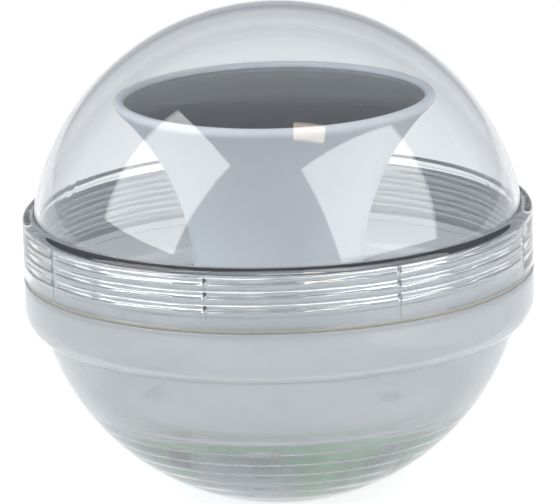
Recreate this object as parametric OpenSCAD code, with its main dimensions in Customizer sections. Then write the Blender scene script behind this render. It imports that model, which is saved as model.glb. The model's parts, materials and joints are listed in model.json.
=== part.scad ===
// Floating pool light. A clear dome screws down on a milky bowl. Inside stands a
// white trumpet tower: a solar panel faces up on its rim, and a circuit board with
// down-facing LEDs and two cells hangs under its foot.
// The origin is at the centre of the flat foot, +Z up, and the front faces -Y.

/* [Shells] */
// Outside radius of the clear dome
dome_r = 73; // [72.8:0.1:73.2]
// Height of the dome's centre
dome_centre_z = 73.1; // [72.6:0.1:73.6]
// Outside radius of the bowl
bowl_r = 72; // [71.6:0.1:72.2]
// Height of the bowl's centre
bowl_centre_z = 70.2; // [69.8:0.1:70.6]
// Outside radius of the collar where the shells meet
collar_r = 75; // [74.9:0.1:76]
// Wall of the dome and the bowl
wall = 2; // [1.8:0.1:2.1]
// Height of the dome's collar skirt
skirt_h = 18; // [17.5:0.1:18.5]
// Rise of one stair on the bowl's inside
terrace_rise = 3.75; // [3.5:0.05:4]

/* [Screw thread] */
// Rise of the thread in one turn
thread_pitch = 4; // [3.8:0.1:4]
// Turns of thread on each shell
thread_turns = 3; // [2:0.5:3]

/* [Tower] */
// Outside radius of the tower's rim
rim_r = 46.9; // [46.5:0.1:47.1]
// Height of the top of the rim
rim_z = 119.7; // [119.2:0.1:120.2]
// Outside radius of the neck
neck_r = 25; // [24.5:0.1:25.5]
// Outside radius of the foot's flange
flange_r = 47; // [46:0.5:48]

/* [Solar panel] */
// Width of the silicon cell
cell_w = 52; // [48:1:53]
// Depth of the silicon cell
cell_d = 39; // [36:1:39]

/* [Lamp and battery] */
// Diameter of an LED's body
led_d = 8; // [7:0.5:8]
// Distance of the LEDs from the centre
led_circle_r = 40; // [39:0.25:40]
// Diameter of a battery cell
battery_d = 10.2; // [10:0.1:10.4]
// Length of a battery cell without its nub
battery_len = 43.7; // [43:0.1:44]

/* [Hidden] */
$fn = 96;
eps = 0.01;

// Heights of the joint between the shells
ledge_z = 67;
seal_h = 1;
skirt_z = ledge_z + seal_h;
skirt_top_z = skirt_z + skirt_h;
shoulder_t = 2.2;
edge_round = 2;

// Collar and neck of the bowl
collar_round = 8.5;
collar_side_z = 58.5;
collar_low_z = collar_side_z - collar_round;
neck_outer_r = 71.1;
neck_inner_r = 69.1;
neck_top_z = 83;
floor_z = 2;
terrace_top_z = 30;

// Screw thread: each ridge is a trapezium that tapers from root to crest
skirt_inner_r = 72.8;
inner_crest_r = 71.6;
outer_crest_r = 72.2;
ridge_bury = 0.3;
ridge_root_half = 1.2;
ridge_crest_half = 0.45;
thread_sectors = 8;
sector_angle = 360 / thread_sectors;
seam_angle = -8;
seam_gap = 1;
thread_low_z = 71;

// Tower
tower_wall = 2;
flare_arc_r = 71.5;
flare_low_z = 66;
foot_arc_r = 22;
foot_arc_z = 52;
flange_z = 30;
flange_t = 3;
flange_inner_r = 36;
rim_inner_r = 44;
ledge_inner_r = 39;
ledge_t = 2.6;

// Solar panel, from the seat up
panel_r = 43.7;
backing_t = 1.4;
resin_t = 1.2;
resin_rise = 1.3;
resin_steps = 12;
cell_t = 0.2;
cell_mid_x = -2;
cell_front_y = -9.5;
ribbon_w = 1.2;
ribbon_t = 0.15;
joint_reach = 4;
panel_z = rim_z - 4.1;
cell_z = panel_z + backing_t;
ribbon_z = cell_z + cell_t;
joint_left_x = cell_mid_x - cell_w / 2 - joint_reach + 1;
joint_right_x = cell_mid_x + cell_w / 2 + joint_reach - 1;
joint_y = cell_front_y + ribbon_w / 2;

// Board and the posts that carry it
board_r = 45;
board_t = 1.6;
board_z = flange_z - board_t;
post_circle_r = 40.5;
post_angles = [210, 330, 90];
post_r = 4;
spigot_r = 2.8;
screw_r = 1.4;
screw_len = 11;
screw_head_r = 2.7;
screw_head_h = 1.7;
recess_w = 0.7;
recess_len = 3.2;
recess_depth = 0.8;

// LEDs, clockwise from the front
led_angles = [270, 30, 150];
led_spacer_h = 2;
led_flange_h = 1.4;
led_straight_h = 3;
leg_w = 0.5;
leg_gap = 1.27;

// Battery holder, hanging under the board with its open side down
holder_x = -8.5;
holder_y = -5;
holder_w = 24.6;
holder_len = 52.5;
holder_h = 12.5;
holder_wall = 1.2;
sleeve_t = 0.15;
cell_pitch = 11.2;
battery_z = board_z - holder_wall - battery_d / 2 - sleeve_t - 0.2;
nub_len = 0.8;
plate_t = 0.3;
plate_side = 8;
nub_r = 1.9;
spring_turns = 4;
spring_wire_r = 0.35;
spring_tip_r = 2.2;
spring_base_r = 3.8;
spring_len = holder_len - 2 * holder_wall - 2 * plate_t - battery_len - nub_len;

// Slide switch in the back of the neck
switch_z = 60;
switch_w = 12;
switch_h = 6;
switch_face_y = 21.8;
switch_depth = 5;
slider_w = 3;
slider_travel = 3;
slider_gap = 0.2;
slider_reach = 1.4;
slider_bury = 1.8;
slot_gap = 0.5;
rail_t = 2;
rail_gap = 0.2;
rail_h = 8;
terminal_w = 0.8;
terminal_t = 0.4;
terminal_len = 3;
terminal_pitch = 3;

// Small parts under the board: where each stands and its size
chip_place = [17, 8];
chip_size = [3.9, 4.9, 1.5];
chip_lift = 0.3;
chip_leg_size = [1.1, 0.4, 0.8];
chip_leg_pitch = 1.27;
chip_leg_x = 2.5;
inductor_place = [26, 2];
inductor_flange_r = 3.4;
inductor_flange_t = 0.8;
inductor_core_r = 2.4;
inductor_core_h = 2.9;
capacitor_place = [-25, -32.3];
capacitor_r = 3.15;
capacitor_h = 7;
crimp_z = 1.7;
crimp_r = 0.6;
crimp_out = 0.25;
diode_place = [22, 20];
diode_size = [4.3, 2.6, 2.2];
resistor_place = [12, 28];
resistor_size = [1.6, 3.2, 0.6];
resistor_pitch = 3.5;

// Routes of the leads, from the panel or the holder to the board
lead_r = 0.65;
lead_sides = 8;
lead_clear = 0.1;
lead_top_z = panel_z - lead_clear;
lead_end_z = flange_z + lead_clear;
route_panel_red = [
    [joint_left_x, joint_y, lead_top_z], [joint_left_x, joint_y, panel_z - 3], [-27, -9, 105],
    [-20, -8, 94], [-17, -7, 82], [-17, -6, 66], [-18, -6, 50], [-18, -4, 38],
    [-17, -3, 33], [-17, -3, lead_end_z]
];
route_panel_black = [
    [joint_right_x, joint_y, lead_top_z], [joint_right_x, joint_y, panel_z - 3], [23, -9, 105],
    [18, -8, 94], [16, -7, 82], [16, -6, 66], [17, -6, 50], [18, -4, 38],
    [18, -3, 33], [18, -3, lead_end_z]
];
battery_lead_y = holder_y + holder_len / 2;
route_battery = [
    [0, battery_lead_y, 19], [0, battery_lead_y + 2, 19], [0, battery_lead_y + 4.5, 20.5],
    [0, battery_lead_y + 5.5, 24], [0, battery_lead_y + 5.5, board_z]
];

// Points of a smooth curve through the route's points
function curve_point(p, i, t) =
    let (
        last = len(p) - 1,
        a = p[max(i - 1, 0)], b = p[i], c = p[min(i + 1, last)], d = p[min(i + 2, last)]
    )
    0.5 * (2 * b + (c - a) * t + (2 * a - 5 * b + 4 * c - d) * t * t
        + (3 * b - 3 * c + d - a) * t * t * t);
function smooth_route(p, cuts) = concat(
    [for (i = [0 : len(p) - 2], k = [0 : cuts - 1]) curve_point(p, i, k / cuts)],
    [p[len(p) - 1]]
);
function unit(v) = v / norm(v);
function heading(p, i) = unit(p[min(i + 1, len(p) - 1)] - p[max(i - 1, 0)]);

// Round tube along a list of points; side_axis never lies along the tube
module tube(path, radius, sides, side_axis) {
    rings = len(path);
    points = [
        for (i = [0 : rings - 1])
            let (
                along = heading(path, i),
                u = unit(cross(along, side_axis)),
                v = cross(along, u)
            )
            for (k = [0 : sides - 1])
                path[i] + radius * (cos(360 * k / sides) * u + sin(360 * k / sides) * v)
    ];
    walls = [
        for (i = [0 : rings - 2], k = [0 : sides - 1])
            let (n = (k + 1) % sides)
            [i * sides + k, (i + 1) * sides + k, (i + 1) * sides + n, i * sides + n]
    ];
    start_cap = [for (k = [0 : sides - 1]) k];
    end_cap = [for (k = [sides - 1 : -1 : 0]) (rings - 1) * sides + k];
    polyhedron(points, concat([start_cap], walls, [end_cap]), convexity = 6);
}

// Interrupted right-hand thread: short level ridges that climb anticlockwise, with a
// narrow break at each seam of the mould's collapsing core
module thread_ridges(root_r, crest_r, low_z) {
    section = [
        [root_r, -ridge_root_half], [crest_r, -ridge_crest_half],
        [crest_r, ridge_crest_half], [root_r, ridge_root_half]
    ];
    for (i = [0 : thread_sectors * thread_turns - 1]) {
        rotate([0, 0, seam_angle + i * sector_angle + seam_gap / 2]) {
            translate([0, 0, low_z + i * thread_pitch / thread_sectors]) {
                rotate_extrude(angle = sector_angle - seam_gap) polygon(section);
            }
        }
    }
}

// Places its children on a circle at the given angle
module on_circle(radius, angle) {
    translate([radius * cos(angle), radius * sin(angle), 0]) rotate([0, 0, angle - 270]) children();
}

module dome_profile() {
    difference() {
        union() {
            intersection() {
                translate([0, dome_centre_z]) circle(dome_r);
                translate([0, skirt_top_z - edge_round]) square([dome_r, dome_r]);
            }
            translate([0, skirt_z]) square([collar_r, skirt_h - edge_round]);
            translate([0, skirt_z]) square([collar_r - edge_round, skirt_h]);
            translate([collar_r - edge_round, skirt_top_z - edge_round]) circle(edge_round);
        }
        intersection() {
            translate([0, dome_centre_z]) circle(dome_r - wall);
            translate([-eps, skirt_z]) square([dome_r, dome_r + skirt_h]);
        }
        translate([-eps, skirt_z - eps]) square([skirt_inner_r + eps, skirt_h - shoulder_t + eps]);
        translate([-collar_r, 0]) square([collar_r, 2 * collar_r]);
    }
}

module dome() {
    color([0.86, 0.9, 0.93, 0.4]) union() {
        rotate_extrude() dome_profile();
        thread_ridges(skirt_inner_r + ridge_bury, inner_crest_r, thread_low_z);
    }
}

module seal_ring() {
    color("burlywood") rotate_extrude() {
        translate([skirt_inner_r, ledge_z]) square([collar_r - skirt_inner_r - 0.4, seal_h]);
    }
}

module bowl_outline(grow, top_z) {
    intersection() {
        translate([0, bowl_centre_z]) circle(bowl_r + grow);
        translate([0, 0]) square([bowl_r, collar_side_z]);
    }
    translate([0, collar_side_z]) square([collar_r + grow, top_z - collar_side_z]);
    translate([0, collar_low_z - grow]) square([collar_r - collar_round, collar_round + grow + eps]);
    intersection() {
        translate([collar_r - collar_round, collar_side_z]) circle(collar_round + grow);
        square([collar_r, collar_side_z + eps]);
    }
}

// Stairs on the inside: each stair's lower corner lies on the smooth inner sphere
module bowl_hollow() {
    inner_r = bowl_r - wall;
    intersection() {
        bowl_outline(-wall, ledge_z - wall);
        translate([0, terrace_top_z]) square([collar_r, ledge_z]);
    }
    steps = floor((terrace_top_z - floor_z) / terrace_rise);
    for (k = [0 : steps]) {
        low = max(terrace_top_z - (k + 1) * terrace_rise, floor_z);
        radius = sqrt(inner_r * inner_r - pow(bowl_centre_z - low, 2));
        translate([-eps, low]) square([radius + eps, terrace_top_z - k * terrace_rise - low + eps]);
    }
    translate([-eps, collar_side_z]) square([neck_inner_r + eps, neck_top_z - collar_side_z + 1]);
}

module bowl_profile() {
    difference() {
        union() {
            bowl_outline(0, ledge_z);
            translate([0, collar_side_z]) square([neck_outer_r, neck_top_z - collar_side_z]);
        }
        bowl_hollow();
    }
}

module screw_post() {
    difference() {
        intersection() {
            union() {
                cylinder(r = post_r, h = board_z);
                cylinder(r = spigot_r, h = flange_z);
            }
            translate([0, post_circle_r, bowl_centre_z]) sphere(r = bowl_r - wall / 2);
        }
        translate([0, 0, flange_z - screw_len]) cylinder(r = screw_r + 0.05, h = screw_len + 1);
    }
}

module bowl() {
    color([0.9, 0.9, 0.86, 0.6]) union() {
        rotate_extrude() bowl_profile();
        thread_ridges(neck_outer_r - ridge_bury, outer_crest_r, thread_low_z - thread_pitch / 2);
        for (angle = post_angles) on_circle(post_circle_r, angle) screw_post();
    }
}

// Curved wall between two radii about one centre
module arc_wall(centre, radius) {
    translate(centre) difference() {
        circle(radius + tower_wall);
        circle(radius);
    }
}

module tower_profile() {
    flare_centre = [neck_r + flare_arc_r, flare_low_z];
    foot_centre = [neck_r + foot_arc_r, foot_arc_z];
    flare_top_z = flare_low_z + sqrt(pow(flare_arc_r, 2) - pow(neck_r + flare_arc_r - rim_r, 2));
    lip_r = (rim_r - rim_inner_r) / 2;
    rim_wall_h = max(rim_z - lip_r - flare_top_z, 0) + eps;
    difference() {
        union() {
            intersection() {
                arc_wall(flare_centre, flare_arc_r);
                translate([neck_r - tower_wall, flare_low_z]) square([rim_r, flare_top_z - flare_low_z]);
            }
            translate([neck_r - tower_wall, foot_arc_z]) square([tower_wall, flare_low_z - foot_arc_z]);
            intersection() {
                arc_wall(foot_centre, foot_arc_r);
                translate([0, flange_z]) square([foot_centre[0], foot_arc_z - flange_z]);
            }
            translate([flange_inner_r, flange_z]) square([flange_r - flange_inner_r, flange_t]);
            translate([ledge_inner_r, panel_z - ledge_t]) square([rim_inner_r - ledge_inner_r, ledge_t]);
            translate([rim_inner_r - eps, flare_top_z - eps]) {
                square([rim_r - rim_inner_r + eps, rim_wall_h]);
            }
            translate([rim_r - lip_r, rim_z - lip_r]) circle(lip_r);
        }
        translate([0, panel_z]) square([rim_inner_r, rim_z]);
    }
}

module light_tower() {
    slot_w = slider_w + slider_travel + 2 * slot_gap;
    slot_h = slider_w + 2 * slot_gap;
    rail_y = switch_face_y - switch_depth;
    color("whitesmoke") difference() {
        union() {
            rotate_extrude() tower_profile();
            for (side = [-1, 1]) {
                rail_x = side * (switch_w / 2 + rail_gap + rail_t / 2) - rail_t / 2;
                translate([rail_x, rail_y, switch_z - rail_h / 2]) {
                    cube([rail_t, neck_r - tower_wall - 0.6 - rail_y, rail_h]);
                }
            }
        }
        translate([-slider_w / 2 - slot_gap, switch_face_y, switch_z - slot_h / 2]) {
            cube([slot_w, neck_r, slot_h]);
        }
        for (angle = post_angles) {
            on_circle(post_circle_r, angle) cylinder(r = screw_r + 0.3, h = rim_z / 2);
        }
    }
}

module lead_holes(top, depth) {
    for (x = [joint_left_x, joint_right_x]) {
        translate([x, joint_y, top - depth]) cylinder(r = 0.8, h = depth + eps);
    }
}

module panel_backing() {
    color([0.1, 0.1, 0.11]) difference() {
        translate([0, 0, panel_z]) cylinder(r = panel_r, h = backing_t);
        translate([0, 0, -eps]) lead_holes(cell_z + 1, backing_t + 2);
    }
}

module cell_block(height) {
    translate([cell_mid_x - cell_w / 2, cell_front_y, cell_z]) cube([cell_w, cell_d, height]);
}

module solar_cell() {
    color([0.1, 0.12, 0.2]) cell_block(cell_t);
}

module cell_ribbons() {
    ribbon_len = joint_right_x - joint_left_x - 2;
    color("silver") {
        translate([joint_left_x + 1, cell_front_y, ribbon_z]) cube([ribbon_len, ribbon_w, ribbon_t]);
        translate([cell_mid_x - cell_w / 2, cell_front_y + cell_d - ribbon_w, ribbon_z]) {
            cube([cell_w, ribbon_w, ribbon_t]);
        }
    }
}

module solder_joints() {
    color("gray") for (x = [joint_left_x, joint_right_x]) {
        translate([x, joint_y, cell_z]) cylinder(r = 1, h = 0.5);
        translate([x, joint_y, panel_z]) cylinder(r = 0.75, h = backing_t + eps);
    }
}

// The resin's domed top, from its edge to the middle
resin_cap = [
    for (i = [0 : resin_steps])
        let (share = 1 - i / resin_steps)
        [panel_r * share, cell_z + resin_t + resin_rise * (1 - pow(share, 2))]
];

module panel_resin() {
    color([0.15, 0.15, 0.17, 0.5]) difference() {
        rotate_extrude() polygon(concat([[0, cell_z], [panel_r, cell_z]], resin_cap));
        cell_block(cell_t);
        translate([joint_left_x, cell_front_y, ribbon_z - 1]) {
            cube([joint_right_x - joint_left_x, ribbon_w, ribbon_t + 1]);
        }
        translate([cell_mid_x - cell_w / 2, cell_front_y + cell_d - ribbon_w, ribbon_z - eps]) {
            cube([cell_w, ribbon_w, ribbon_t + eps]);
        }
        for (x = [joint_left_x, joint_right_x]) {
            translate([x, joint_y, cell_z - eps]) cylinder(r = 1, h = 0.5 + eps);
        }
    }
}

module panel_lead_red() {
    color("firebrick") tube(smooth_route(route_panel_red, 3), lead_r, lead_sides, [0, 1, 0]);
}

module panel_lead_black() {
    color("black") tube(smooth_route(route_panel_black, 3), lead_r, lead_sides, [0, 1, 0]);
}

module circuit_board() {
    color("seagreen") difference() {
        translate([0, 0, board_z]) cylinder(r = board_r, h = board_t);
        for (angle = post_angles) {
            on_circle(post_circle_r, angle) cylinder(r = spigot_r + 0.2, h = rim_z);
        }
        for (angle = led_angles) {
            on_circle(led_circle_r, angle) leg_pair(board_z - 1, flange_z + 1, 0.1);
        }
    }
}

module leg_pair(low, high, grow) {
    side = leg_w + 2 * grow;
    for (x = [-leg_gap, leg_gap]) {
        translate([x - side / 2, -side / 2, low]) cube([side, side, high - low]);
    }
}

module led_spacer() {
    color("white") difference() {
        translate([0, 0, board_z - led_spacer_h]) cylinder(d = led_d + 1.4, h = led_spacer_h);
        leg_pair(board_z - led_spacer_h - 1, board_z + 1, 0.1);
    }
}

// Two legs; one ends in the cup under the chip, the other in a thin post
module led_frame_shape(grow) {
    seat_z = board_z - led_spacer_h - led_flange_h;
    leg_pair(seat_z - 1.5 - grow, flange_z, grow);
    translate([-leg_gap - 0.5 - grow, -0.6 - grow, seat_z - 3.2 - grow]) {
        cube([1.9 + 2 * grow, 1.2 + 2 * grow, 1.9 + 2 * grow]);
    }
    translate([leg_gap - 0.4 - grow, -0.4 - grow, seat_z - 2.6 - grow]) {
        cube([0.9 + 2 * grow, 0.8 + 2 * grow, 1.3 + 2 * grow]);
    }
}

module led_lens() {
    top = board_z - led_spacer_h;
    seat = top - led_flange_h;
    color([0.9, 0.95, 0.95, 0.5]) difference() {
        union() {
            translate([0, 0, seat]) cylinder(d = led_d + 1.2, h = led_flange_h);
            translate([0, 0, seat - led_straight_h]) cylinder(d = led_d, h = led_straight_h + eps);
            translate([0, 0, seat - led_straight_h]) sphere(d = led_d);
        }
        led_frame_shape(0);
    }
}

module led_at(index) {
    on_circle(led_circle_r, led_angles[index]) children();
}

module led_frame() {
    color("silver") led_frame_shape(0);
}

module battery_holder() {
    color("gainsboro") difference() {
        translate([holder_x - holder_w / 2, holder_y - holder_len / 2, board_z - holder_h]) {
            cube([holder_w, holder_len, holder_h]);
        }
        translate([
            holder_x - holder_w / 2 + holder_wall,
            holder_y - holder_len / 2 + holder_wall,
            board_z - holder_h - 1
        ]) {
            cube([holder_w - 2 * holder_wall, holder_len - 2 * holder_wall, holder_h - holder_wall + 1]);
        }
        for (side = [-1, 1]) {
            translate([holder_x + side * cell_pitch / 2, battery_lead_y + 1, 19]) {
                rotate([90, 0, 0]) cylinder(r = 0.75, h = holder_wall + 2);
            }
        }
    }
}

// Side 1 is the left cell, with its nub to the front; side 2 lies the other way round
module in_bay(side) {
    x = holder_x + (side == 1 ? -1 : 1) * cell_pitch / 2;
    translate([x, holder_y, battery_z]) rotate([0, 0, side == 1 ? 0 : 180]) children();
}

// Distance from the bay's middle to the end wall
bay_half = holder_len / 2 - holder_wall;
nub_tip_y = -bay_half + plate_t;

module battery_cell() {
    color("silver") {
        translate([0, nub_tip_y, 0]) rotate([-90, 0, 0]) cylinder(r = nub_r, h = nub_len + 1);
        translate([0, nub_tip_y + nub_len, 0]) rotate([-90, 0, 0]) {
            cylinder(d = battery_d, h = battery_len);
        }
    }
}

module battery_sleeve() {
    color("seagreen") translate([0, nub_tip_y + nub_len, 0]) rotate([-90, 0, 0]) difference() {
        cylinder(d = battery_d + 2 * sleeve_t, h = battery_len);
        translate([0, 0, -1]) cylinder(d = battery_d, h = battery_len + 2);
    }
}

module contact_plate() {
    color("silver") {
        for (y = [-bay_half, bay_half - plate_t]) {
            translate([-plate_side / 2, y, -plate_side / 2]) cube([plate_side, plate_t, plate_side]);
        }
    }
}

// Conical coil that presses on the flat end of the cell
module contact_spring() {
    steps = 12;
    length = spring_len - 2 * spring_wire_r;
    path = [
        for (i = [0 : spring_turns * steps])
            let (
                t = i / (spring_turns * steps),
                radius = spring_tip_r + (spring_base_r - spring_tip_r) * t
            )
            [
                radius * cos(360 * i / steps),
                bay_half - plate_t - spring_len + spring_wire_r + length * t,
                radius * sin(360 * i / steps)
            ]
    ];
    color("silver") tube(path, spring_wire_r * 0.98, 8, [0, 1, 0]);
}

module battery_lead(side) {
    path = smooth_route(route_battery, 4);
    translate([holder_x + side * cell_pitch / 2, 0, 0]) tube(path, lead_r, lead_sides, [1, 0, 0]);
}

module battery_lead_red() {
    color("firebrick") battery_lead(-1);
}

module battery_lead_black() {
    color("black") battery_lead(1);
}

// Parts on the underside of the board, placed by their middle
module under_board(place, height) {
    translate([place[0], place[1], board_z - height]) children();
}

module flat_block(size) {
    translate([-size[0] / 2, -size[1] / 2, 0]) cube(size);
}

module controller_chip() {
    color([0.1, 0.1, 0.1]) under_board(chip_place, chip_size[2] + chip_lift) flat_block(chip_size);
}

module chip_legs() {
    color("silver") for (side = [-1, 1], k = [-1.5 : 1 : 1.5]) {
        under_board(chip_place + [side * chip_leg_x, k * chip_leg_pitch], chip_leg_size[2]) {
            flat_block(chip_leg_size);
        }
    }
}

module inductor() {
    color([0.15, 0.15, 0.16]) under_board(inductor_place, 2 * inductor_flange_t + inductor_core_h) {
        cylinder(r = inductor_flange_r, h = inductor_flange_t);
        translate([0, 0, inductor_flange_t - eps]) {
            cylinder(r = inductor_core_r, h = inductor_core_h + 2 * eps);
        }
        translate([0, 0, inductor_flange_t + inductor_core_h]) {
            cylinder(r = inductor_flange_r, h = inductor_flange_t);
        }
    }
}

module capacitor() {
    color([0.12, 0.12, 0.14]) under_board(capacitor_place, capacitor_h) difference() {
        cylinder(r = capacitor_r, h = capacitor_h);
        translate([0, 0, capacitor_h - crimp_z]) rotate_extrude() {
            translate([capacitor_r + crimp_out, 0]) circle(crimp_r);
        }
    }
}

module diode() {
    color([0.12, 0.12, 0.12]) under_board(diode_place, diode_size[2]) flat_block(diode_size);
}

module resistors() {
    color([0.1, 0.1, 0.1]) for (k = [0 : 2]) {
        under_board(resistor_place + [k * resistor_pitch, 0], resistor_size[2]) {
            flat_block(resistor_size);
        }
    }
}

module switch_body() {
    color([0.2, 0.2, 0.22]) difference() {
        translate([-switch_w / 2, switch_face_y - switch_depth, switch_z - switch_h / 2]) {
            cube([switch_w, switch_depth, switch_h]);
        }
        translate([-slider_w / 2 - slider_gap, switch_face_y - 2, switch_z - slider_w / 2 - slider_gap]) {
            cube([slider_w + slider_travel + 2 * slider_gap, 3, slider_w + 2 * slider_gap]);
        }
    }
}

module switch_slider() {
    color([0.1, 0.1, 0.1]) {
        translate([-slider_w / 2, switch_face_y - slider_bury, switch_z - slider_w / 2]) {
            cube([slider_w, slider_bury + neck_r - switch_face_y + slider_reach, slider_w]);
        }
    }
}

module switch_terminals() {
    back_y = switch_face_y - switch_depth - terminal_len;
    color("silver") for (k = [-1 : 1]) {
        translate([k * terminal_pitch - terminal_w / 2, back_y, switch_z - terminal_t / 2]) {
            cube([terminal_w, terminal_len, terminal_t]);
        }
    }
}

module post_screw(index) {
    color("silver") on_circle(post_circle_r, post_angles[index]) {
        translate([0, 0, flange_z + flange_t]) difference() {
            cylinder(r = screw_head_r, h = screw_head_h);
            for (turn = [0, 90]) {
                rotate([0, 0, turn]) {
                    translate([-recess_len / 2, -recess_w / 2, screw_head_h - recess_depth]) {
                        cube([recess_len, recess_w, 1]);
                    }
                }
            }
        }
        translate([0, 0, flange_z - screw_len + 1]) {
            cylinder(r = screw_r, h = screw_len + flange_t - 1 + eps);
        }
    }
}

dome();
seal_ring();
bowl();
light_tower();
panel_backing();
solar_cell();
cell_ribbons();
solder_joints();
panel_resin();
panel_lead_red();
panel_lead_black();
circuit_board();
led_at(0) led_lens();  // led_1
led_at(1) led_lens();  // led_2
led_at(2) led_lens();  // led_3
led_at(0) led_spacer();  // led_spacer_1
led_at(1) led_spacer();  // led_spacer_2
led_at(2) led_spacer();  // led_spacer_3
led_at(0) led_frame();  // led_frame_1
led_at(1) led_frame();  // led_frame_2
led_at(2) led_frame();  // led_frame_3
battery_holder();
in_bay(1) battery_cell();  // battery_cell_1
in_bay(2) battery_cell();  // battery_cell_2
in_bay(1) battery_sleeve();  // battery_sleeve_1
in_bay(2) battery_sleeve();  // battery_sleeve_2
in_bay(1) contact_spring();  // contact_spring_1
in_bay(2) contact_spring();  // contact_spring_2
in_bay(1) contact_plate();  // contact_plate_1
in_bay(2) contact_plate();  // contact_plate_2
battery_lead_red();
battery_lead_black();
controller_chip();
chip_legs();
inductor();
capacitor();
diode();
resistors();
switch_body();
switch_slider();
switch_terminals();
post_screw(0);  // post_screw_1
post_screw(1);  // post_screw_2
post_screw(2);  // post_screw_3
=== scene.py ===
# %% [markdown]
# # A floating pool light, step by step
# The object is a solar pool light about 150 mm across. A clear dome screws down on a milky bowl.
# A white trumpet-shaped tower stands inside, with a solar panel on top and LEDs under its foot.
# The CAD frame already gives every part its place. Here each part gets its true surface and finish.

# %% Load the frame
import json
import math

import bmesh
import bpy
from mathutils import Matrix, Vector


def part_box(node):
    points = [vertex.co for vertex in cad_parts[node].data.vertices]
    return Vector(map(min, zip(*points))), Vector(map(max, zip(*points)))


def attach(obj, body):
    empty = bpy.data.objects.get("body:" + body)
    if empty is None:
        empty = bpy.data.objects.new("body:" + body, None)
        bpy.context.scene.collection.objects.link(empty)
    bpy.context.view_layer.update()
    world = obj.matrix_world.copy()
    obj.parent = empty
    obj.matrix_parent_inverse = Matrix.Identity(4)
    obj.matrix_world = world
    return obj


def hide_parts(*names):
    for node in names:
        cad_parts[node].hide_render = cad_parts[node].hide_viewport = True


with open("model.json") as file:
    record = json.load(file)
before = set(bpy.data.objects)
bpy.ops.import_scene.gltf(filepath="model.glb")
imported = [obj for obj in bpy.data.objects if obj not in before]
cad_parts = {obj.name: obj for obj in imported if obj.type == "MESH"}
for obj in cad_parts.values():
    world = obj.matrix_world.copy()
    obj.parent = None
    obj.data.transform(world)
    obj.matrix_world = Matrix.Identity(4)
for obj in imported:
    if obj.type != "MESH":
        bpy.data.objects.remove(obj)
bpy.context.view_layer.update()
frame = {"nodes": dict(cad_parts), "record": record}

# %% [markdown]
# ## Units and small helpers
# Blender works in metres, but parts of this size are easier to think about in millimetres.
# Profiles are therefore written in millimetres and scaled once, where a mesh is made.

# %% Units and colours
MM = 0.001


def srgb(code):
    """A hex colour as it looks on screen, turned to the linear values that shaders use."""
    values = [int(code[i:i + 2], 16) / 255 for i in (1, 3, 5)]
    linear = [v / 12.92 if v <= 0.04045 else ((v + 0.055) / 1.055) ** 2.4 for v in values]
    return (*linear, 1.0)


# %% Arcs and fillets for profiles
def arc(centre, radius, start, end, steps):
    """Points (distance from axis, height) on an arc; angles in degrees, 0 outward and 90 up."""
    turns = [math.radians(start + (end - start) * i / steps) for i in range(steps + 1)]
    return [(centre[0] + radius * math.cos(t), centre[1] + radius * math.sin(t)) for t in turns]


def bearing(centre, point):
    """Angle in degrees at which a point is seen from a centre."""
    return math.degrees(math.atan2(point[1] - centre[1], point[0] - centre[0])) % 360


def rounded(corners, steps=3):
    """A path through corners (distance, height, fillet); a fillet above 0 becomes a small curve."""
    path = []
    for i, (r, z, fillet) in enumerate(corners):
        if fillet <= 0 or i in (0, len(corners) - 1):
            path.append((r, z))
            continue
        here = Vector((r, z))
        back = (Vector(corners[i - 1][:2]) - here).normalized()
        ahead = (Vector(corners[i + 1][:2]) - here).normalized()
        for k in range(steps + 1):
            t = k / steps
            path.append(tuple(here + fillet * ((1 - t) ** 2 * back + t ** 2 * ahead)))
    return path


# %% [markdown]
# ## Turned parts
# Dome, bowl and tower are bodies of revolution. A lathe function spins a profile round the axis.
# Real threads are not round, so the function can also shift each point by its angle.
# This keeps one closed mesh, which clear materials need: light must enter and leave each wall once.

# %% Lathe
def even_angles(count):
    return [2 * math.pi * i / count for i in range(count)]


def turned_mesh(name, profile, angles, closed=False, shift=None, at=(0, 0)):
    """Spins a profile in mm about an upright axis. An open profile starts and ends on the axis."""
    bm = bmesh.new()
    rings = []
    for r, z in profile:
        if r < 1e-6:
            rings.append([bm.verts.new((at[0] * MM, at[1] * MM, z * MM))])
            continue
        ring = []
        for angle in angles:
            rr = shift(angle, r, z) if shift else r
            x, y = at[0] + rr * math.cos(angle), at[1] + rr * math.sin(angle)
            ring.append(bm.verts.new((x * MM, y * MM, z * MM)))
        rings.append(ring)
    count = len(angles)
    pairs = list(zip(rings, rings[1:]))
    if closed:
        pairs.append((rings[-1], rings[0]))
    for low, high in pairs:
        for i in range(count):
            j = (i + 1) % count
            corners = [low[i % len(low)], low[j % len(low)], high[j % len(high)], high[i % len(high)]]
            corners = list(dict.fromkeys(corners))
            if len(corners) > 2:
                bm.faces.new(corners)
    bmesh.ops.recalc_face_normals(bm, faces=bm.faces)
    mesh = bpy.data.meshes.new(name)
    bm.to_mesh(mesh)
    bm.free()
    return mesh


# %% Blocks, for cutters and ribs
def block_mesh(name, low, high):
    """A box between two corners in mm."""
    bm = bmesh.new()
    bmesh.ops.create_cube(bm, size=1)
    for vert in bm.verts:
        for k in range(3):
            vert.co[k] = (low[k] if vert.co[k] < 0 else high[k]) * MM
    mesh = bpy.data.meshes.new(name)
    bm.to_mesh(mesh)
    bm.free()
    return mesh


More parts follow.
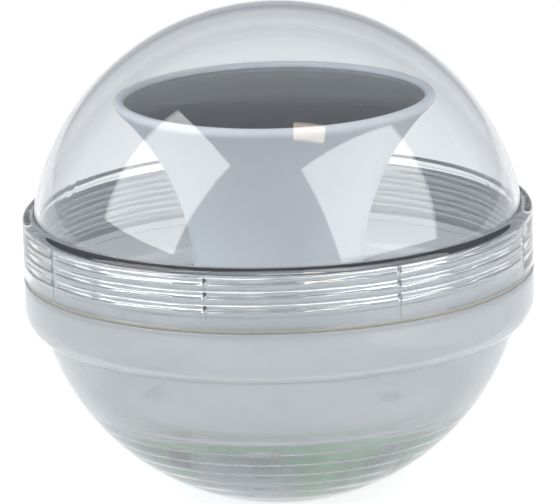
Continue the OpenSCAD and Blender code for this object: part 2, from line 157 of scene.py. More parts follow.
def carve(mesh, tools):
    """Joins or cuts a mesh with others. Each tool is (operation, mesh)."""
    work = bpy.data.objects.new("carving", mesh)
    bpy.context.scene.collection.objects.link(work)
    helpers = []
    for operation, tool in tools:
        helper = bpy.data.objects.new("tool", tool)
        bpy.context.scene.collection.objects.link(helper)
        helpers.append(helper)
        step = work.modifiers.new(operation, "BOOLEAN")
        step.operation, step.solver, step.object = operation, "EXACT", helper
    bpy.context.view_layer.update()
    result = bpy.data.meshes.new_from_object(work.evaluated_get(bpy.context.evaluated_depsgraph_get()))
    for leftover in [work, *helpers]:
        bpy.data.objects.remove(leftover)
    result.name = mesh.name
    return result


# %% Adding a piece
def add_piece(name, mesh, material, body, replaces=(), crease=35):
    """Puts a mesh on its CAD body, smooth but for edges sharper than the crease angle."""
    mesh.polygons.foreach_set("use_smooth", [True] * len(mesh.polygons))
    mesh.set_sharp_from_angle(angle=math.radians(crease))
    mesh.materials.clear()
    mesh.materials.append(material)
    piece = bpy.data.objects.new(name, mesh)
    bpy.context.scene.collection.objects.link(piece)
    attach(piece, body)
    if replaces:
        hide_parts(*replaces)
    print(f"{name}: {len(mesh.vertices)} points, rides on {body}")
    return piece


# %% [markdown]
# ## Shader helper
# Every finish is a network of nodes round one Principled shader. One function adds any node:
# its properties come as keywords, and its inputs take either a value or another node's output.

# %% Node helper
def add_node(tree, kind, inputs=None, **settings):
    node = tree.nodes.new("ShaderNode" + kind)
    for key, value in settings.items():
        setattr(node, key, value)
    for key, value in (inputs or {}).items():
        if isinstance(value, bpy.types.NodeSocket):
            tree.links.new(value, node.inputs[key])
        else:
            node.inputs[key].default_value = value
    return node


# %% [markdown]
# ## One moulded finish, many plastics and metals
# A moulded or plated surface is never one flat colour. Its tone and its gloss drift a little over
# patches some millimetres wide, and a fine relief from the mould or the plating breaks the highlights.
# A painted picture could show this, but noise worked out from real sizes needs no unwrapping and stays
# sharp at any distance. The function takes two close colours, two roughness values and the sizes of
# the patches and the relief, and each finish gives its own.

# %% Base finish
def surface(name, colours, gloss, patch_mm, relief_mm, relief_grain_mm, **sockets):
    """A Principled surface. The object coordinates come back too, for finishes that add more."""
    material = bpy.data.materials.new(name)
    material.use_nodes = True
    tree = material.node_tree
    shader = tree.nodes["Principled BSDF"]
    for key, value in sockets.items():
        shader.inputs[key.replace("_", " ")].default_value = value
    place = add_node(tree, "TexCoord").outputs["Object"]
    patches = add_node(tree, "TexNoise", {"Vector": place, "Scale": 1 / (patch_mm * MM), "Detail": 3.0})
    drift = patches.outputs["Fac"]
    tone = add_node(
        tree, "Mix", {0: drift, 6: srgb(colours[0]), 7: srgb(colours[1])}, data_type="RGBA",
    )
    tree.links.new(tone.outputs[2], shader.inputs["Base Color"])
    sheen = add_node(tree, "MapRange", {
        "Value": drift, "From Min": 0.3, "From Max": 0.7, "To Min": gloss[0], "To Max": gloss[1],
    })
    tree.links.new(sheen.outputs["Result"], shader.inputs["Roughness"])
    fine = add_node(tree, "TexNoise", {
        "Vector": place, "Scale": 1 / (relief_grain_mm * MM), "Detail": 2.0,
    })
    bump = add_node(tree, "Bump", {
        "Height": fine.outputs["Fac"], "Distance": relief_mm * MM, "Strength": 0.6,
    })
    tree.links.new(bump.outputs["Normal"], shader.inputs["Normal"])
    print("finish:", name)
    return material, tree, shader, place


# %% [markdown]
# ## Clear plastics let lamps through
# A path tracer treats a clear shell as an obstacle for its shadow rays, so what is inside goes dark.
# Caustics could carry the light in, but slowly and with much noise. So for shadow rays alone, the
# shell becomes plainly transparent with a slight tint.

# %% Lamp light through clear shells
def let_lamps_through(tree, shader, tint):
    output = tree.nodes["Material Output"]
    path = add_node(tree, "LightPath")
    clear = add_node(tree, "BsdfTransparent", {"Color": srgb(tint)})
    mix = add_node(tree, "MixShader", {
        0: path.outputs["Is Shadow Ray"], 1: shader.outputs["BSDF"], 2: clear.outputs["BSDF"],
    })
    tree.links.new(mix.outputs["Shader"], output.inputs["Surface"])


# %% [markdown]
# ## Finishes of the shells
# The dome is moulded polycarbonate: hard, polished by its mould, IOR about 1.58, faintly grey.
# Its transmission is set just below 1. The trace of haze is chosen for its look: without it, light
# that the wall guides along, as at the shoulder, comes out black.
# The bowl is natural polypropylene: milky because its crystals scatter light, IOR about 1.49.
# Scattering inside the wall could be traced as a volume, but a mix of clear and matt looks the same
# on a 2 mm wall and is much faster. So part of the light goes through and part spreads.
# The foot is set clearer than the wall above it, so that the board shows through. Why a real foot
# would look clearer isn't known; a thinner or faster cooled wall is one guess.

# %% Clear polycarbonate
def clear_polycarbonate():
    material, tree, shader, place = surface(
        "clear_moulded_polycarbonate", ("#F9FAFA", "#F6F8F9"), (0.008, 0.016),
        patch_mm=20, relief_mm=0.012, relief_grain_mm=16, IOR=1.58,
    )
    shader.inputs["Transmission Weight"].default_value = 0.988
    let_lamps_through(tree, shader, "#DDE0E3")
    return material


# %% Milky polypropylene
THIN_FOOT_TOP, THICK_WALL_LOW = 24, 34


def milky_polypropylene():
    material, tree, shader, place = surface(
        "milky_moulded_polypropylene", ("#CFD2D4", "#CACDCF"), (0.1, 0.14),
        patch_mm=9, relief_mm=0.01, relief_grain_mm=1.2, IOR=1.49,
    )
    height = add_node(tree, "SeparateXYZ", {0: place}).outputs["Z"]
    clarity = add_node(tree, "MapRange", {
        "Value": height, "From Min": THIN_FOOT_TOP * MM, "From Max": THICK_WALL_LOW * MM,
        "To Min": 0.83, "To Max": 0.65,
    })
    tree.links.new(clarity.outputs["Result"], shader.inputs["Transmission Weight"])
    let_lamps_through(tree, shader, "#E2E5E6")
    return material


DOME_PLASTIC = clear_polycarbonate()
BOWL_PLASTIC = milky_polypropylene()

# %% [markdown]
# ## Sizes of the shells
# Both shells are parts of balls, joined at a collar. Their radii repeat the CAD model's driving sizes,
# in millimetres. Heights that the frame holds are read from it, so that they can't drift apart.

# %% Sizes
DOME_R = 73.0
DOME_CENTRE = (0.0, 73.1)
BOWL_R = 72.0
BOWL_CENTRE = (0.0, 70.2)
COLLAR_R = 75.0
WALL = 2.0
SKIRT_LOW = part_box("dome")[0].z / MM
SKIRT_TOP = SKIRT_LOW + 18
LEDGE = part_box("seal_ring")[0].z / MM
NECK_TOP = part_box("bowl")[1].z / MM
print("skirt from", round(SKIRT_LOW, 2), "to", round(SKIRT_TOP, 2), "neck to", round(NECK_TOP, 2))

# %% [markdown]
# ## The screw thread
# A moulded thread is a helical ridge with a flat crest and sloping flanks. It rises 4 mm a turn.
# The dome's thread comes off a core that collapses in eight segments, which leaves eight upright
# seams with a small break in the ridge. A ridge swept along a helix would have to be joined to the
# wall afterwards, so the ridge is a height added to the wall at each angle instead.

# %% Thread height
PITCH = 4.0
TURNS = 3
FADE_TURNS = 0.05
ROW_STEP = 0.25
RIDGE_ROOT, RIDGE_CREST = 1.2, 0.45
SEAMS = 8
SEAM_ANGLE = math.radians(-8)
SEAM_PITCH = 2 * math.pi / SEAMS


def seam_distance(angle, radius):
    """Arc length in mm from the nearest seam."""
    offset = (angle - SEAM_ANGLE + SEAM_PITCH / 2) % SEAM_PITCH - SEAM_PITCH / 2
    return offset * radius


def ridge_height(angle, z, low_z):
    """Height of the ridge, 0 to 1, at this angle and height; it fades out at both ends."""
    start = ((angle - SEAM_ANGLE) / (2 * math.pi)) % 1.0
    turn = min(max(round((z - low_z) / PITCH - start), 0), TURNS - 1) + start
    offset = abs(z - low_z - PITCH * turn)
    flank = (RIDGE_ROOT - offset) / (RIDGE_ROOT - RIDGE_CREST)
    fade = min(turn, TURNS - turn) / FADE_TURNS
    return min(max(flank, 0), 1) * min(max(fade, 0), 1)


def seam_columns(radius, base_count, offsets, clearance=1.2):
    """Even columns, plus close ones at each seam so that its break is crisp."""
    angles = even_angles(base_count)
    for k in range(SEAMS):
        middle = SEAM_ANGLE + k * SEAM_PITCH
        angles = [
            a for a in angles
            if abs((a - middle + math.pi) % (2 * math.pi) - math.pi) * radius > clearance
        ]
        angles += [(middle + o / radius) % (2 * math.pi) for o in offsets]
    return sorted(angles)


# %% [markdown]
# ## The clear dome
# The dome is one moulding: a hemisphere, a narrow shoulder with a rounded edge, and a skirt that
# carries the thread inside. A thin sheet could pass for the wall, but it would not bend the light.
# So the 2 mm wall has both its faces, turned from one profile that ends on the axis.

# %% Dome
SHOULDER = 2.2
SHOULDER_ROUND = 2
SKIRT_INNER = 72.8
SKIRT_ROWS = 55
THREAD_LOW = 71.0
RIDGE_DEPTH = 1.2
BREAK_DEPTH, BREAK_WIDTH = 0.85, 0.3
FLASH_HEIGHT, FLASH_WIDTH = 0.25, 0.16


def dome_profile():
    sphere_foot = (math.sqrt(DOME_R ** 2 - (SKIRT_TOP - DOME_CENTRE[1]) ** 2), SKIRT_TOP)
    outer = arc(DOME_CENTRE, DOME_R, 90, bearing(DOME_CENTRE, sphere_foot), 56)
    outer[0] = (0.0, outer[0][1])
    shoulder = arc(
        (COLLAR_R - SHOULDER_ROUND, SKIRT_TOP - SHOULDER_ROUND), SHOULDER_ROUND, 90, 0, 10,
    )
    foot = rounded([
        (COLLAR_R, SKIRT_LOW + 3, 0), (COLLAR_R, SKIRT_LOW, 0.35),
        (SKIRT_INNER, SKIRT_LOW, 0.3), (SKIRT_INNER, SKIRT_LOW + 1, 0),
    ])
    rows = [(SKIRT_INNER, SKIRT_LOW + 1 + ROW_STEP * k) for k in range(1, SKIRT_ROWS)]
    inner_r = DOME_R - WALL
    under = SKIRT_TOP - SHOULDER
    inner_foot = (math.sqrt(inner_r ** 2 - (under - DOME_CENTRE[1]) ** 2), under)
    corner = rounded([
        (SKIRT_INNER, under - 1, 0), (SKIRT_INNER, under, 0.4), (inner_foot[0] + 0.2, under, 0),
    ])
    inner = arc(DOME_CENTRE, inner_r, bearing(DOME_CENTRE, inner_foot), 90, 50)
    inner[-1] = (0.0, inner[-1][1])
    return outer + shoulder + foot + rows + corner + inner


def dome_shift(angle, r, z):
    """Adds the inside thread and the eight core seams to the skirt's inner wall."""
    if abs(r - SKIRT_INNER) > 0.01 or z < SKIRT_LOW + 0.9:
        return r
    near = abs(seam_distance(angle, r))
    seam = math.exp(-(near / BREAK_WIDTH) ** 2)
    ridge = RIDGE_DEPTH * ridge_height(angle, z, THREAD_LOW) * (1 - BREAK_DEPTH * seam)
    return r - ridge - FLASH_HEIGHT * math.exp(-(near / FLASH_WIDTH) ** 2)


dome_columns = seam_columns(SKIRT_INNER, 256, (-0.9, -0.5, -0.25, 0, 0.25, 0.5, 0.9))
add_piece(
    "clear_dome", turned_mesh("clear_dome", dome_profile(), dome_columns, shift=dome_shift),
    DOME_PLASTIC, "dome_body", ["dome"], crease=40,
)

# %% [markdown]
# ## The milky bowl
# The bowl is also one moulding. Outside it is smooth; inside, stairs run round it that break up the
# light of the LEDs. Its collar matches the dome's skirt, and its neck has the outside thread.
# It is turned like the dome. The three posts that the tower is screwed to can't be turned with it,
# so each is a small turned part, joined by an exact boolean that leaves one closed skin.

# %% Bowl
NECK_OUTER, NECK_INNER = 71.1, 69.1
COLLAR_ROUND = 8.5
COLLAR_SIDE = 58.5
FLOOR = 2.0
STAIR_TOP, STAIR_RISE = 30.0, 3.75
STAIRS = 7
NECK_RIDGE = 1.1


def sphere_radius(radius, z):
    return math.sqrt(radius ** 2 - (z - BOWL_CENTRE[1]) ** 2)


def crossing(centre_a, radius_a, centre_b, radius_b):
    """The lower point where two circles cross."""
    a, b = Vector(centre_a), Vector(centre_b)
    gap = (b - a).length
    along = (radius_a ** 2 - radius_b ** 2 + gap ** 2) / (2 * gap)
    off = math.sqrt(radius_a ** 2 - along ** 2)
    axis = (b - a) / gap
    middle = a + axis * along
    side = Vector((-axis.y, axis.x)) * off
    return min(tuple(middle + side), tuple(middle - side), key=lambda p: p[1])


def bowl_outside():
    collar_centre = (COLLAR_R - COLLAR_ROUND, COLLAR_SIDE)
    corner = crossing(BOWL_CENTRE, BOWL_R, collar_centre, COLLAR_ROUND)
    foot_r = sphere_radius(BOWL_R, 0)
    sphere = arc(BOWL_CENTRE, BOWL_R, bearing(BOWL_CENTRE, (foot_r, 0)), bearing(BOWL_CENTRE, corner), 46)
    turn = arc(collar_centre, COLLAR_ROUND, bearing(collar_centre, corner), 360, 14)
    top = rounded([
        (COLLAR_R, COLLAR_SIDE, 0), (COLLAR_R, LEDGE, 0.4),
        (NECK_OUTER, LEDGE, 0.3), (NECK_OUTER, LEDGE + 1, 0),
    ])
    return [(0.0, 0.0)] + sphere + turn[1:] + top[1:]


def bowl_inside():
    inner_r = BOWL_R - WALL
    collar_centre = (COLLAR_R - COLLAR_ROUND, COLLAR_SIDE)
    inner_round = COLLAR_ROUND - WALL
    corner = crossing(BOWL_CENTRE, inner_r, collar_centre, inner_round)
    ledge = rounded([
        (NECK_INNER, LEDGE, 0), (NECK_INNER, LEDGE - WALL, 0.5),
        (COLLAR_R - WALL, LEDGE - WALL, 0.5), (COLLAR_R - WALL, COLLAR_SIDE, 0),
    ])
    turn = arc(collar_centre, inner_round, 360, bearing(collar_centre, corner), 10)
    below = (sphere_radius(inner_r, STAIR_TOP), STAIR_TOP)
    plain = arc(BOWL_CENTRE, inner_r, bearing(BOWL_CENTRE, corner), bearing(BOWL_CENTRE, below), 22)
    stairs = []
    for k in range(STAIRS + 1):
        high = STAIR_TOP - k * STAIR_RISE
        low = max(high - STAIR_RISE, FLOOR)
        radius = sphere_radius(inner_r, low)
        stairs += [(radius, high, 0.3), (radius, low, 0.3)]
    stairs = rounded([(*plain[-1], 0)] + stairs + [(0.0, FLOOR, 0)])
    return ledge + turn[1:] + plain[1:] + stairs[1:]


def bowl_profile():
    row_count = int((NECK_TOP - LEDGE - 2) / ROW_STEP)
    rows = [(NECK_OUTER, LEDGE + 1 + ROW_STEP * k) for k in range(1, row_count)]
    lip = rounded([
        (NECK_OUTER, NECK_TOP - 1, 0), (NECK_OUTER, NECK_TOP, 0.5),
        (NECK_INNER, NECK_TOP, 0.5), (NECK_INNER, NECK_TOP - 1, 0),
    ])
    return bowl_outside() + rows + lip + bowl_inside()


def bowl_shift(angle, r, z):
    """Adds the outside thread, which lies half a pitch below the dome's."""
    if abs(r - NECK_OUTER) > 0.01 or z < LEDGE + 0.9:
        return r
    return r + NECK_RIDGE * ridge_height(angle, z, THREAD_LOW - PITCH / 2)


# %% Screw posts in the bowl
POST_CIRCLE = 40.5
POST_ANGLES = (210, 330, 90)
POST_R, POST_TIP_R = 4, 2.8
FLANGE_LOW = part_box("light_tower")[0].z / MM
BOARD_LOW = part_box("circuit_board")[0].z / MM


def around(radius, degrees):
    """A place in mm at a distance from the axis, at an angle."""
    turn = math.radians(degrees)
    return radius * math.cos(turn), radius * math.sin(turn)


def post_mesh(angle):
    """A post under the board, cut off inside the bowl's wall."""
    profile = [(0, 1), (POST_R, 1)] + rounded([
        (POST_R, 3, 0), (POST_R, BOARD_LOW, 0.2), (POST_TIP_R, BOARD_LOW, 0),
        (POST_TIP_R, FLANGE_LOW, 0.2), (0, FLANGE_LOW, 0),
    ])
    post = turned_mesh("post", profile, even_angles(40), at=around(POST_CIRCLE, angle))
    ball = arc(BOWL_CENTRE, BOWL_R - WALL / 2, -90, 90, 60)
    ball[0], ball[-1] = (0.0, ball[0][1]), (0.0, ball[-1][1])
    return carve(post, [("INTERSECT", turned_mesh("ball", ball, even_angles(160)))])


bowl_mesh = turned_mesh("milky_bowl", bowl_profile(), even_angles(288), shift=bowl_shift)
bowl_mesh = carve(bowl_mesh, [("UNION", post_mesh(angle)) for angle in POST_ANGLES])
add_piece("milky_bowl", bowl_mesh, BOWL_PLASTIC, "base", ["bowl"], crease=40)

# %% [markdown]
# ## The seal
# A silicone ring lies between bowl and dome. It is squeezed a little, so its edges are round.
# A torus would be too round for a flat gap, so the ring is turned from a flat profile with soft
# corners. Silicone is soft and slightly see-through, with an IOR of about 1.43 and a dull skin.

# %% Seal
SEAL_LOW, SEAL_HIGH = (corner.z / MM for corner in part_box("seal_ring"))
SEAL_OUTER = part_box("seal_ring")[1].x / MM
SEAL_WIDTH = 1.8


def silicone_rubber():
    material, tree, shader, place = surface(
        "moulded_silicone_rubber", ("#B0AC9E", "#A39F91"), (0.38, 0.55),
        patch_mm=4, relief_mm=0.02, relief_grain_mm=0.6, IOR=1.43,
    )
    shader.inputs["Transmission Weight"].default_value = 0.2
    return material


def seal_profile():
    inner = SEAL_OUTER - SEAL_WIDTH
    middle = (SEAL_LOW + SEAL_HIGH) / 2
    return rounded([
        (inner, middle, 0), (inner, SEAL_LOW, 0.3), (SEAL_OUTER, SEAL_LOW, 0.35),
        (SEAL_OUTER, SEAL_HIGH, 0.35), (inner, SEAL_HIGH, 0.3), (inner, middle, 0),
    ])[:-1]


add_piece(
    "seal", turned_mesh("seal", seal_profile(), even_angles(240), closed=True),
    silicone_rubber(), "seal", ["seal_ring"],
)

# %% [markdown]
# ## The white tower
# The tower is moulded in white ABS, with a satin surface that scatters light softly. A curve drawn by
# hand could follow its trumpet, but a mould maker would use arcs, and so does the lathe here. A slot in
# the back of the neck is for the switch, and three holes in the flange are for the screws.

# %% Tower
TOWER_WALL = 2.0
FLARE_CENTRE, FLARE_R = (96.5, 66.0), 71.5
FOOT_CENTRE, FOOT_R = (47.0, 52.0), 22.0
RIM_R, RIM_TOP = 46.9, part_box("light_tower")[1].z / MM
RIM_INNER, LEDGE_INNER = 44.0, 39.0
LIP_R = (RIM_R - RIM_INNER) / 2
LIP_CENTRE = (RIM_R - LIP_R, RIM_TOP - LIP_R)
PANEL_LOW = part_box("panel_backing")[0].z / MM
FLANGE_TOP, FLANGE_INNER, FLANGE_R = FLANGE_LOW + 3, 36.0, 47.0
NECK_R = FLARE_CENTRE[0] - FLARE_R


def height_on(centre, radius, r, above):
    """Height at which a circle passes a distance from the axis, above or below its centre."""
    return centre[1] + (1 if above else -1) * math.sqrt(radius ** 2 - (centre[0] - r) ** 2)


def tower_profile():
    meet = bearing(FLARE_CENTRE, LIP_CENTRE)
    foot_low = (FLANGE_INNER - 0.1, height_on(FOOT_CENTRE, FOOT_R, FLANGE_INNER - 0.1, False))
    outer = arc(FOOT_CENTRE, FOOT_R, bearing(FOOT_CENTRE, foot_low), 180, 24)
    outer += arc(FLARE_CENTRE, FLARE_R, 180, meet, 40)
    lip = arc(LIP_CENTRE, LIP_R, meet - 180, 180, 16)[1:]
    under = PANEL_LOW - 2.6
    inner_r = FLARE_R + TOWER_WALL
    under_r = FLARE_CENTRE[0] - math.sqrt(inner_r ** 2 - (under - FLARE_CENTRE[1]) ** 2)
    ledge = rounded([
        (RIM_INNER, PANEL_LOW + 1, 0), (RIM_INNER, PANEL_LOW, 0.2), (LEDGE_INNER, PANEL_LOW, 0.2),
        (LEDGE_INNER, under, 0.2), (under_r, under, 0),
    ])
    inner = arc(FLARE_CENTRE, inner_r, bearing(FLARE_CENTRE, (under_r, under)), 180, 30)
    foot_r = FOOT_R + TOWER_WALL
    inner_low = (FLANGE_INNER, height_on(FOOT_CENTRE, foot_r, FLANGE_INNER, False))
    inner += arc(FOOT_CENTRE, foot_r, 180, bearing(FOOT_CENTRE, inner_low), 18)
    flange = rounded([
        inner[-1] + (0,), (FLANGE_INNER, FLANGE_LOW, 0.2), (FLANGE_R, FLANGE_LOW, 0.3),
        (FLANGE_R, FLANGE_TOP, 0.3), (foot_low[0], FLANGE_TOP, 0),
    ])
    return outer + lip + ledge + inner[1:-1] + flange


def white_abs():
    return surface(
        "white_moulded_abs", ("#D6D9DD", "#D1D4D9"), (0.38, 0.5),
        patch_mm=12, relief_mm=0.015, relief_grain_mm=0.7, IOR=1.53,
    )[0]


WHITE_ABS = white_abs()

# %% Switch slot, rails and screw holes
SWITCH_Z = 60.0
SWITCH_FACE = 21.8
SWITCH_DEPTH = 5
RAIL_MIDDLE, RAIL_HALF, RAIL_BACK, RAIL_REACH = 7.2, 1, 22.4, 4
SLOT_LEFT, SLOT_RIGHT, SLOT_BACK, SLOT_REACH = -2, 5, 30, 2
SCREW_HOLE_R = 1.7


def tower_mesh():
    tools = []
    for side in (-1, 1):
        middle = side * RAIL_MIDDLE
        tools.append(("UNION", block_mesh(
            "rail", (middle - RAIL_HALF, SWITCH_FACE - SWITCH_DEPTH, SWITCH_Z - RAIL_REACH),
            (middle + RAIL_HALF, RAIL_BACK, SWITCH_Z + RAIL_REACH),
        )))
    tools.append(("DIFFERENCE", block_mesh(
        "slot", (SLOT_LEFT, SWITCH_FACE, SWITCH_Z - SLOT_REACH),
        (SLOT_RIGHT, SLOT_BACK, SWITCH_Z + SLOT_REACH),
    )))
    low, high = FLANGE_LOW - 1, FLANGE_TOP + 1
    hole = [(0, low), (SCREW_HOLE_R, low), (SCREW_HOLE_R, high), (0, high)]
    for angle in POST_ANGLES:
        spot = around(POST_CIRCLE, angle)
        tools.append(("DIFFERENCE", turned_mesh("hole", hole, even_angles(24), at=spot)))
    body = turned_mesh("white_tower", tower_profile(), even_angles(192), closed=True)
    return carve(body, tools)


add_piece("white_tower", tower_mesh(), WHITE_ABS, "base", ["light_tower"], crease=30)

# %% [markdown]
# ## The LEDs
# Each LED is clear epoxy cast over a metal lead frame: a flange, a short cylinder and a half ball.
# The lens bends what is seen of the frame, so it is a closed turned body. The lead frame inside keeps
# its CAD shape.

# %% LED lenses
LED_CIRCLE = 40.0
LED_ANGLES = (270, 30, 150)
LED_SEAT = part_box("led_1")[1].z / MM
LENS_R, LENS_FLANGE_R, LENS_FLANGE = 4.0, 4.6, 1.4
BALL_DROP = 3.0


def cast_epoxy():
    material, tree, shader, place = surface(
        "clear_cast_epoxy", ("#EAF1F0", "#E4EDEB"), (0.01, 0.03),
        patch_mm=5, relief_mm=0.01, relief_grain_mm=3, IOR=1.53,
    )
    shader.inputs["Transmission Weight"].default_value = 1.0
    let_lamps_through(tree, shader, "#E6EDEC")
    return material


LED_EPOXY = cast_epoxy()
for number, angle in enumerate(LED_ANGLES, 1):
    step = LED_SEAT - LENS_FLANGE
    ball = (0.0, step - BALL_DROP)
    lens = [(0, LED_SEAT)] + rounded([
        (LENS_FLANGE_R - 0.3, LED_SEAT, 0), (LENS_FLANGE_R, LED_SEAT, 0.15), (LENS_FLANGE_R, step, 0.15),
        (LENS_R, step, 0.1), (LENS_R, ball[1] + 1, 0),
    ]) + arc(ball, LENS_R, 0, -90, 12)
    lens[-1] = (0.0, lens[-1][1])
    add_piece(
        f"led_lens_{number}", turned_mesh("lens", lens, even_angles(48), at=around(LED_CIRCLE, angle)),
        LED_EPOXY, "base", [f"led_{number}"],
    )

# %% [markdown]
# ## The solar panel
# The panel is a silicon cell on a black board, cast in clear epoxy that fills the rim's recess.
# Silver paste is screen printed on the cell as thin fingers 2.2 mm apart. They are too flat to be
# worth a mesh, so a rule on the distance across the cell paints them. Resin over silicon leaves little
# step in IOR, so the cell's specular level is set low, and low enough to look dark.

# %% Cell with its fingers
FINGER_PITCH = 2.17
FINGER_WIDTH = 0.11


def screen_printed_silicon():
    material, tree, shader, place = surface(
        "screen_printed_silicon", ("#0C0D11", "#14161B"), (0.3, 0.42),
        patch_mm=6, relief_mm=0.004, relief_grain_mm=0.5, Specular_IOR_Level=0.12,
    )
    across = add_node(tree, "SeparateXYZ", {0: place}).outputs["X"]
    cycle = add_node(tree, "Math", {0: across, 1: FINGER_PITCH / 2 * MM}, operation="PINGPONG")
    finger = add_node(tree, "Math", {0: cycle.outputs[0], 1: FINGER_WIDTH / 2 * MM}, operation="LESS_THAN")
    bare = shader.inputs["Base Color"].links[0].from_socket
    paint = add_node(tree, "Mix", {0: finger.outputs[0], 6: bare, 7: srgb("#8A8E93")}, data_type="RGBA")
    tree.links.new(paint.outputs[2], shader.inputs["Base Color"])
    return material


# %% Resin
def potting_epoxy():
    material, tree, shader, place = surface(
        "clear_potting_epoxy", ("#A9ABAF", "#A2A4A9"), (0.03, 0.07),
        patch_mm=12, relief_mm=0.02, relief_grain_mm=9, IOR=1.54,
    )
    shader.inputs["Transmission Weight"].default_value = 1.0
    let_lamps_through(tree, shader, "#B4B6B9")
    return material


RESIN_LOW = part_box("panel_resin")[0].z / MM
RESIN_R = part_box("panel_resin")[1].x / MM
RESIN_EDGE, RESIN_RISE = 1.2, 1.3
RESIN_STEPS = 20
COVER = 0.4


def resin_mesh():
    """Poured resin stands up in the middle. Its underside lies just over the cell and the ribbons."""
    cap = []
    for k in range(RESIN_STEPS + 1):
        part = 1 - k / RESIN_STEPS
        cap.append((RESIN_R * part, RESIN_LOW + RESIN_EDGE + RESIN_RISE * (1 - part ** 2)))
    cover = RESIN_LOW + COVER
    cap[-1] = (0.0, cap[-1][1])
    return turned_mesh("resin", [(0, cover), (RESIN_R, cover)] + cap, even_angles(160))


add_piece(
    "panel_resin_dome", resin_mesh(), potting_epoxy(), "base", ["panel_resin"], crease=40,
)

# %% [markdown]
# ## Finishes of the small parts
# The board, the battery, the switch and the leads are mostly hidden, and how they really look inside
# is a guess. Modelling them again would add nothing that shows, so each keeps its CAD mesh and gets
# a usual material: solder mask over glass epoxy, plated steel, tinned copper, PVC, nylon or ferrite.
# The board's green is stronger than a real one's, because the milky wall in front pales it.
# A finish is listed as its name, two colours, two roughness values, patch width, relief depth and
# relief grain in mm, and its IOR. A metal keeps the default IOR.

# %% Small part finishes
def metal(name, colours, gloss, patch_mm, relief_mm, relief_grain_mm):
    return surface(name, colours, gloss, patch_mm, relief_mm, relief_grain_mm, Metallic=1.0)[0]


def plastic(name, colours, gloss, patch_mm, relief_mm, relief_grain_mm, ior):
    return surface(name, colours, gloss, patch_mm, relief_mm, relief_grain_mm, IOR=ior)[0]


FINISHES = {
    "white_tower": WHITE_ABS,
    "panel_board": plastic(
        "black_glass_epoxy", ("#0B0B0C", "#101113"), (0.4, 0.5), 8, 0.02, 0.8, 1.55),
    "silicon": screen_printed_silicon(),
    "tinned_metal": metal(
        "tinned_copper", ("#C9C8C4", "#B4B3B0"), (0.22, 0.34), 3, 0.02, 0.5),
    "red_lead": plastic(
        "red_extruded_pvc", ("#A81E1A", "#97201C"), (0.35, 0.45), 3, 0.01, 0.5, 1.53),
    "black_lead": plastic(
        "black_extruded_pvc", ("#17181A", "#202124"), (0.35, 0.45), 3, 0.01, 0.5, 1.53),
    "green_board": plastic(
        "green_solder_mask", ("#22B534", "#3CC84A"), (0.25, 0.35), 3, 0.03, 1.2, 1.55),
    "led_resin": LED_EPOXY,
    "white_spacer": plastic(
        "white_nylon", ("#E6E4DC", "#DDDBD2"), (0.4, 0.5), 2, 0.01, 0.4, 1.53),
    "holder_plastic": plastic(
        "pale_moulded_pp", ("#D9D6E4", "#D0CDDC"), (0.4, 0.5), 8, 0.02, 0.8, 1.49),
    "cell_can": metal(
        "nickel_plated_steel", ("#C7C4BC", "#B5B2AA"), (0.2, 0.3), 3, 0.01, 0.5),
    "cell_sleeve": plastic(
        "pale_shrink_pvc", ("#DAD7E6", "#CFCCDC"), (0.3, 0.4), 8, 0.02, 2.0, 1.53),
    "contact_steel": metal(
        "nickel_plated_spring_steel", ("#C4C2BD", "#AFADA8"), (0.2, 0.32), 2, 0.01, 0.4),
    "black_parts": plastic(
        "black_moulded_epoxy", ("#1A1B1C", "#232425"), (0.5, 0.62), 1.5, 0.02, 0.25, 1.55),
    "ferrite": plastic(
        "sintered_ferrite", ("#2A2A2C", "#353537"), (0.5, 0.65), 1.5, 0.03, 0.25, 1.6),
    "capacitor_sleeve": plastic(
        "black_shrink_sleeve", ("#17181B", "#22242A"), (0.3, 0.4), 4, 0.02, 1.0, 1.53),
    "switch_plastic": plastic(
        "black_moulded_nylon", ("#1B1C1E", "#242527"), (0.45, 0.55), 3, 0.02, 0.4, 1.53),
    "screw_steel": metal(
        "zinc_plated_steel", ("#C2C3C4", "#ADAFB2"), (0.25, 0.38), 1.5, 0.02, 0.3),
}

# %% Give every carried-over CAD part its finish
for row in frame["record"]["subparts"]:
    node = frame["nodes"][row["node"]]
    finish = FINISHES.get(row["material_slot"])
    if finish is not None:
        for place in node.material_slots:
            place.material = finish

# %% [markdown]
# ## The camera
# A short lens would swell the near side of a ball. A long lens from 2.1 m, a little above and to one
# side of the front, keeps the outline nearly free of perspective.

# %% Camera
AZIMUTH, ELEVATION, ROLL = math.radians(9), math.radians(14.4), math.radians(-1.6)
DISTANCE = 2.1
RIGHT = Vector((math.cos(AZIMUTH), math.sin(AZIMUTH), 0))
BACK = Vector((
    math.sin(AZIMUTH) * math.cos(ELEVATION), -math.cos(AZIMUTH) * math.cos(ELEVATION), math.sin(ELEVATION),
))
UP = BACK.cross(RIGHT)
AIM = Vector((0, 0, 71.9 * MM)) + 0.44 * MM * RIGHT

camera_data = bpy.data.cameras.new("camera")
camera_data.lens = 459
camera_data.sensor_width = 36
camera_data.clip_start = 0.1
camera = bpy.data.objects.new("camera", camera_data)
bpy.context.scene.collection.objects.link(camera)
looking = Matrix((RIGHT, UP, BACK)).transposed().to_4x4()
camera.matrix_world = Matrix.Translation(AIM + DISTANCE * BACK) @ looking @ Matrix.Rotation(ROLL, 4, "Z")
bpy.context.scene.camera = camera
print("camera at", [round(v, 3) for v in camera.matrix_world.translation])

# %% [markdown]
# ## Studio
# Two large soft boxes light the object from the front left and the front right, and a small warm lamp
# stands high in front. A pale floor runs far back, and a little emission, which no real floor has,
# keeps it white without stronger lamps. The air around is a calm grey, darker overhead,
# which gives clear plastic the dark edges that make it readable.

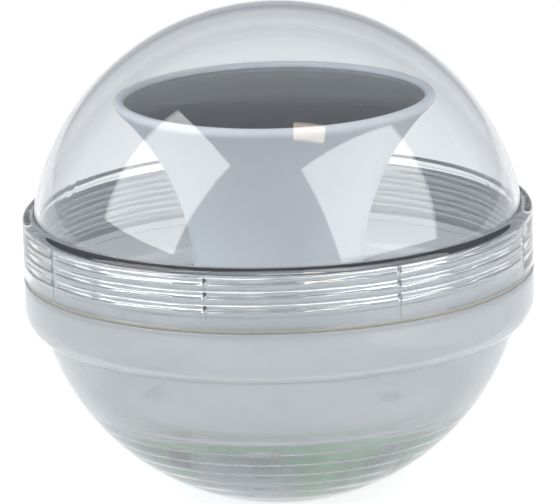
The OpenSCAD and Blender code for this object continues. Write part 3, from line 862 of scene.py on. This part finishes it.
# %% Soft boxes
def soft_box(name, towards, across, size, radiance, colour="#FFFFFF", distance=1.0):
    """A rectangular lamp that faces the object. Directions are right, up and back as the camera sees."""
    def to_world(v):
        return (v[0] * RIGHT + v[1] * UP + v[2] * BACK).normalized()

    z_axis = to_world(towards)
    y_axis = z_axis.cross(to_world(across)).normalized()
    x_axis = y_axis.cross(z_axis)
    lamp = bpy.data.lights.new(name, "AREA")
    lamp.shape = "RECTANGLE"
    lamp.size, lamp.size_y = size
    lamp.energy = radiance * math.pi * size[0] * size[1]
    lamp.color = srgb(colour)[:3]
    holder = bpy.data.objects.new(name, lamp)
    bpy.context.scene.collection.objects.link(holder)
    turn = Matrix((x_axis, y_axis, z_axis)).transposed().to_4x4()
    holder.matrix_world = Matrix.Translation(Vector((0, 0, DOME_CENTRE[1] * MM)) + distance * z_axis) @ turn
    holder.visible_camera = False
    return holder


soft_box("box_right", (0.694, 0.365, 0.622), (-0.62, -0.17, 0.76), (1.0, 0.89), 2.9)
soft_box("box_left", (-0.76, 0.462, 0.456), (-0.34, 0.315, -0.885), (0.8, 0.88), 3.2)
soft_box("lamp_front", (0.233, 0.786, 0.573), (1, 0, 0), (0.22, 0.15), 4.0, "#FFE9D0")

# %% Surroundings
world = bpy.data.worlds.new("studio_air")
bpy.context.scene.world = world
world.use_nodes = True
air = world.node_tree
height = add_node(air, "SeparateXYZ", {0: add_node(air, "TexCoord").outputs["Generated"]}).outputs["Z"]
tones = add_node(air, "ValToRGB", {"Fac": height})
for element, (position, colour) in zip(tones.color_ramp.elements, ((0.05, "#C3C6CB"), (0.45, "#80858F"))):
    element.position, element.color = position, srgb(colour)
air.links.new(tones.outputs["Color"], air.nodes["Background"].inputs["Color"])
air.nodes["Background"].inputs["Strength"].default_value = 1.0

# %% Floor
def pale_floor():
    material, tree, shader, place = surface(
        "white_painted_board", ("#C4C4C4", "#C0C0C0"), (0.6, 0.7),
        patch_mm=400, relief_mm=0.05, relief_grain_mm=3, Specular_IOR_Level=0.1,
    )
    shader.inputs["Emission Color"].default_value = srgb("#FFFFFF")
    shader.inputs["Emission Strength"].default_value = 0.72
    return material


floor_bm = bmesh.new()
bmesh.ops.create_grid(floor_bm, x_segments=1, y_segments=1, size=6.0)
floor_mesh = bpy.data.meshes.new("floor")
floor_bm.to_mesh(floor_mesh)
floor_bm.free()
floor_mesh.materials.append(pale_floor())
floor = bpy.data.objects.new("floor", floor_mesh)
bpy.context.scene.collection.objects.link(floor)

# %% [markdown]
# ## Colour handling and light paths
# Plain screen colours keep the white ground white. Light that enters a clear wall is passed on many
# times, at the shoulder most of all, so the paths may be long.

# %% Colour handling
scene = bpy.context.scene
scene.view_settings.view_transform = "Standard"
scene.cycles.max_bounces = 24
scene.cycles.transmission_bounces = 24
scene.cycles.transparent_max_bounces = 16
